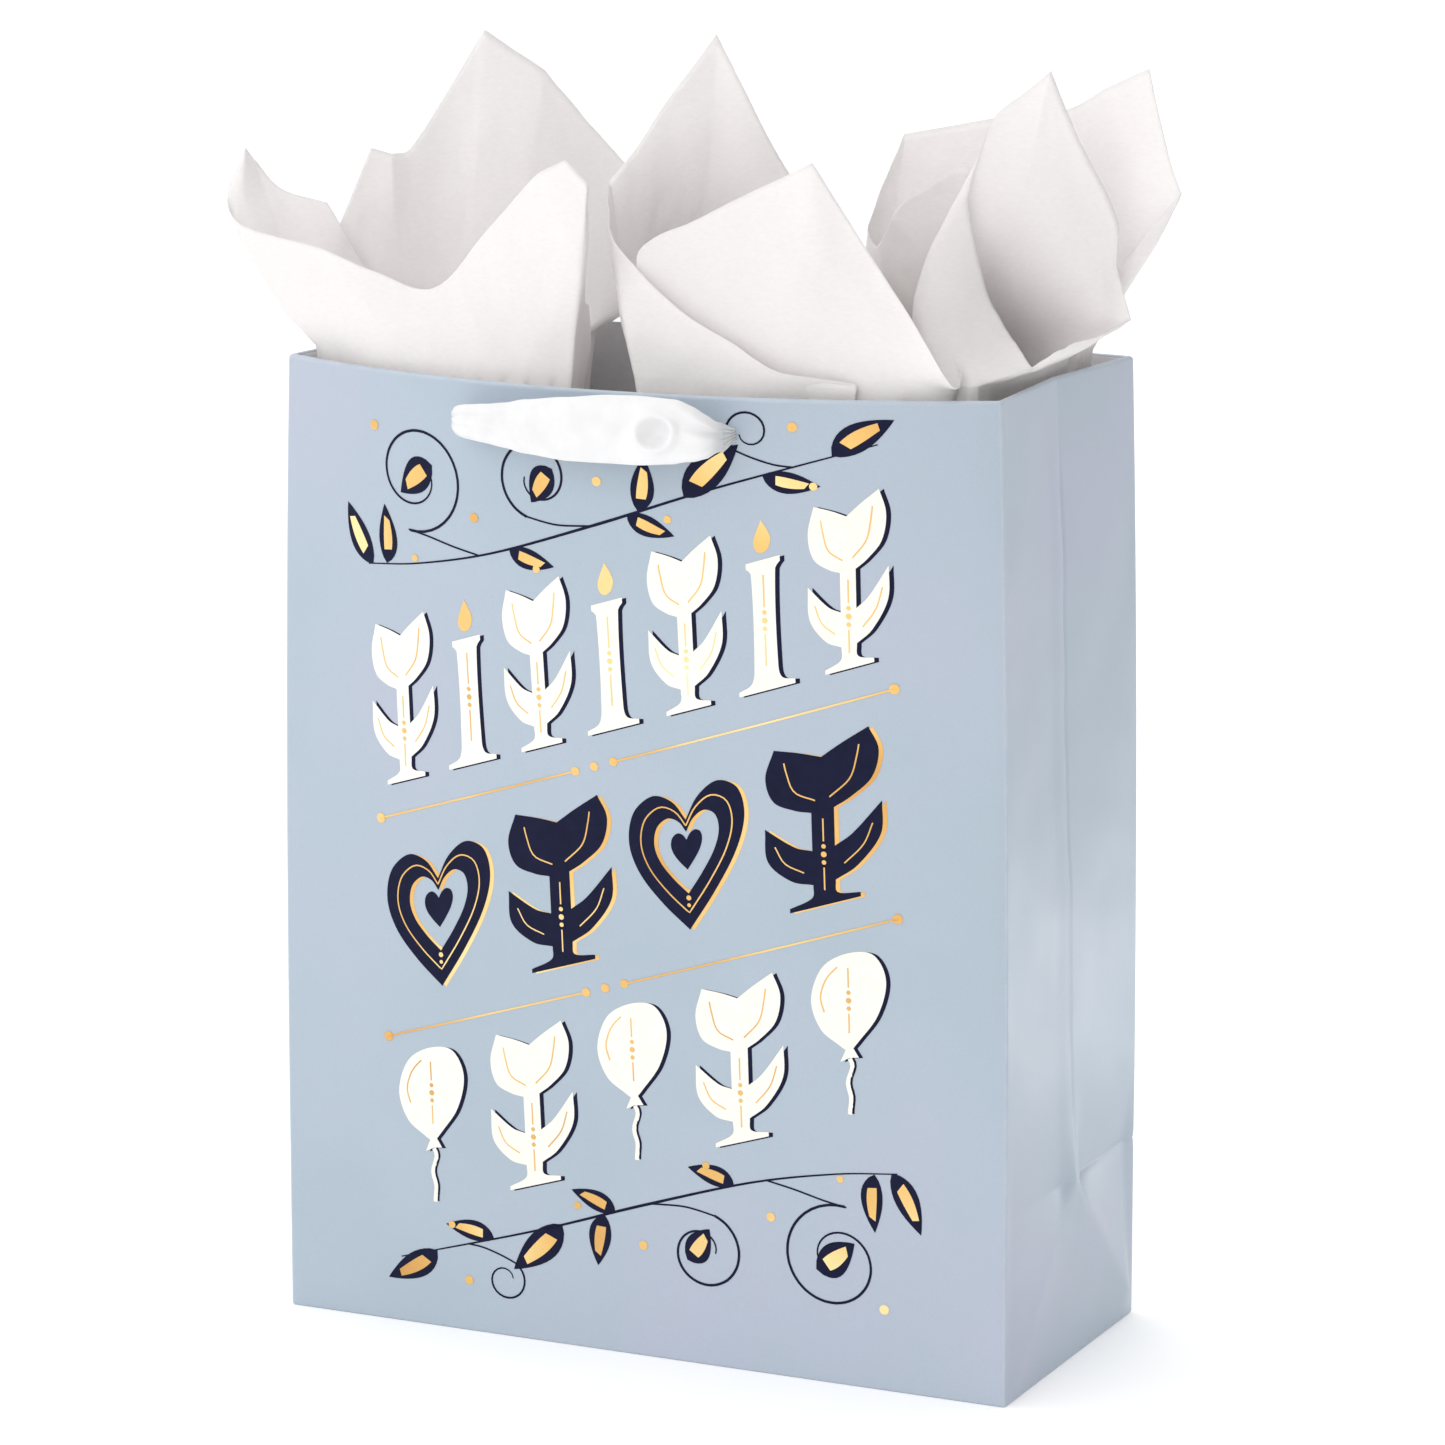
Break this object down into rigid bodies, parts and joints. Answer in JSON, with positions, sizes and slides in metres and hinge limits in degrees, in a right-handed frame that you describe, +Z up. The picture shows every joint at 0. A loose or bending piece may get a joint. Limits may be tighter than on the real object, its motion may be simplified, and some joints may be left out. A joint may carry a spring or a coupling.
{
  "type": "gift bag",
  "caption": "Upright paper gift bag with side gussets, a flat base, short satin ribbon handles and loose tissue sheets that fill the mouth.",
  "frame": {"origin": "middle of the bottom, on the surface the bag stands on", "axes": "+Z up, -Y out of the front panel, +X to the right as seen from the front"},
  "size_m": [0.2967, 0.1912, 0.438],
  "materials": {
    "printed_paper": "matt laminated printed paper",
    "greyboard": "plain pressed card",
    "satin_ribbon": "satin weave",
    "tissue_paper": "thin matt tissue"
  },
  "bodies": {
    "bag": {"front_panel": "printed_paper", "back_panel": "printed_paper", "left_gusset_front_half": "printed_paper", "left_gusset_back_half": "printed_paper", "right_gusset_front_half": "printed_paper", "right_gusset_back_half": "printed_paper", "bottom_front_flap": "printed_paper", "bottom_back_flap": "printed_paper", "bottom_left_tuck": "printed_paper", "bottom_right_tuck": "printed_paper", "side_glue_flap": "printed_paper", "front_turned_hem": "printed_paper", "back_turned_hem": "printed_paper", "left_turned_hem": "printed_paper", "right_turned_hem": "printed_paper", "front_top_card": "greyboard", "back_top_card": "greyboard", "base_board": "greyboard", "front_left_ribbon_knot": "satin_ribbon", "front_right_ribbon_knot": "satin_ribbon", "back_left_ribbon_knot": "satin_ribbon", "back_right_ribbon_knot": "satin_ribbon"},
    "front_handle": {"front_ribbon_handle": "satin_ribbon"},
    "back_handle": {"back_ribbon_handle": "satin_ribbon"},
    "left_rear_sheet": {"left_rear_tissue": "tissue_paper"},
    "left_front_sheet": {"left_front_tissue": "tissue_paper"},
    "centre_sheet": {"centre_tissue": "tissue_paper"},
    "right_front_sheet": {"right_front_tissue": "tissue_paper"},
    "right_rear_sheet": {"right_rear_tissue": "tissue_paper"}
  },
  "joints": [
    {"name": "front_handle_swing", "type": "hinge", "parent": "bag", "child": "front_handle", "pos_m": [0, -0.0915, 0.318], "axis": [-1, 0, 0], "range_deg": [-60, 90]},
    {"name": "back_handle_swing", "type": "hinge", "parent": "bag", "child": "back_handle", "pos_m": [0, 0.0665, 0.318], "axis": [1, 0, 0], "range_deg": [-60, 90]},
    {"name": "left_rear_tissue_lift", "type": "slide", "parent": "bag", "child": "left_rear_sheet", "axis": [0, 0, 1], "range_m": [0, 0.35]},
    {"name": "left_front_tissue_lift", "type": "slide", "parent": "bag", "child": "left_front_sheet", "axis": [0, 0, 1], "range_m": [0, 0.35]},
    {"name": "centre_tissue_lift", "type": "slide", "parent": "bag", "child": "centre_sheet", "axis": [0, 0, 1], "range_m": [0, 0.35]},
    {"name": "right_front_tissue_lift", "type": "slide", "parent": "bag", "child": "right_front_sheet", "axis": [0, 0, 1], "range_m": [0, 0.35]},
    {"name": "right_rear_tissue_lift", "type": "slide", "parent": "bag", "child": "right_rear_sheet", "axis": [0, 0, 1], "range_m": [0, 0.35]}
  ]
}
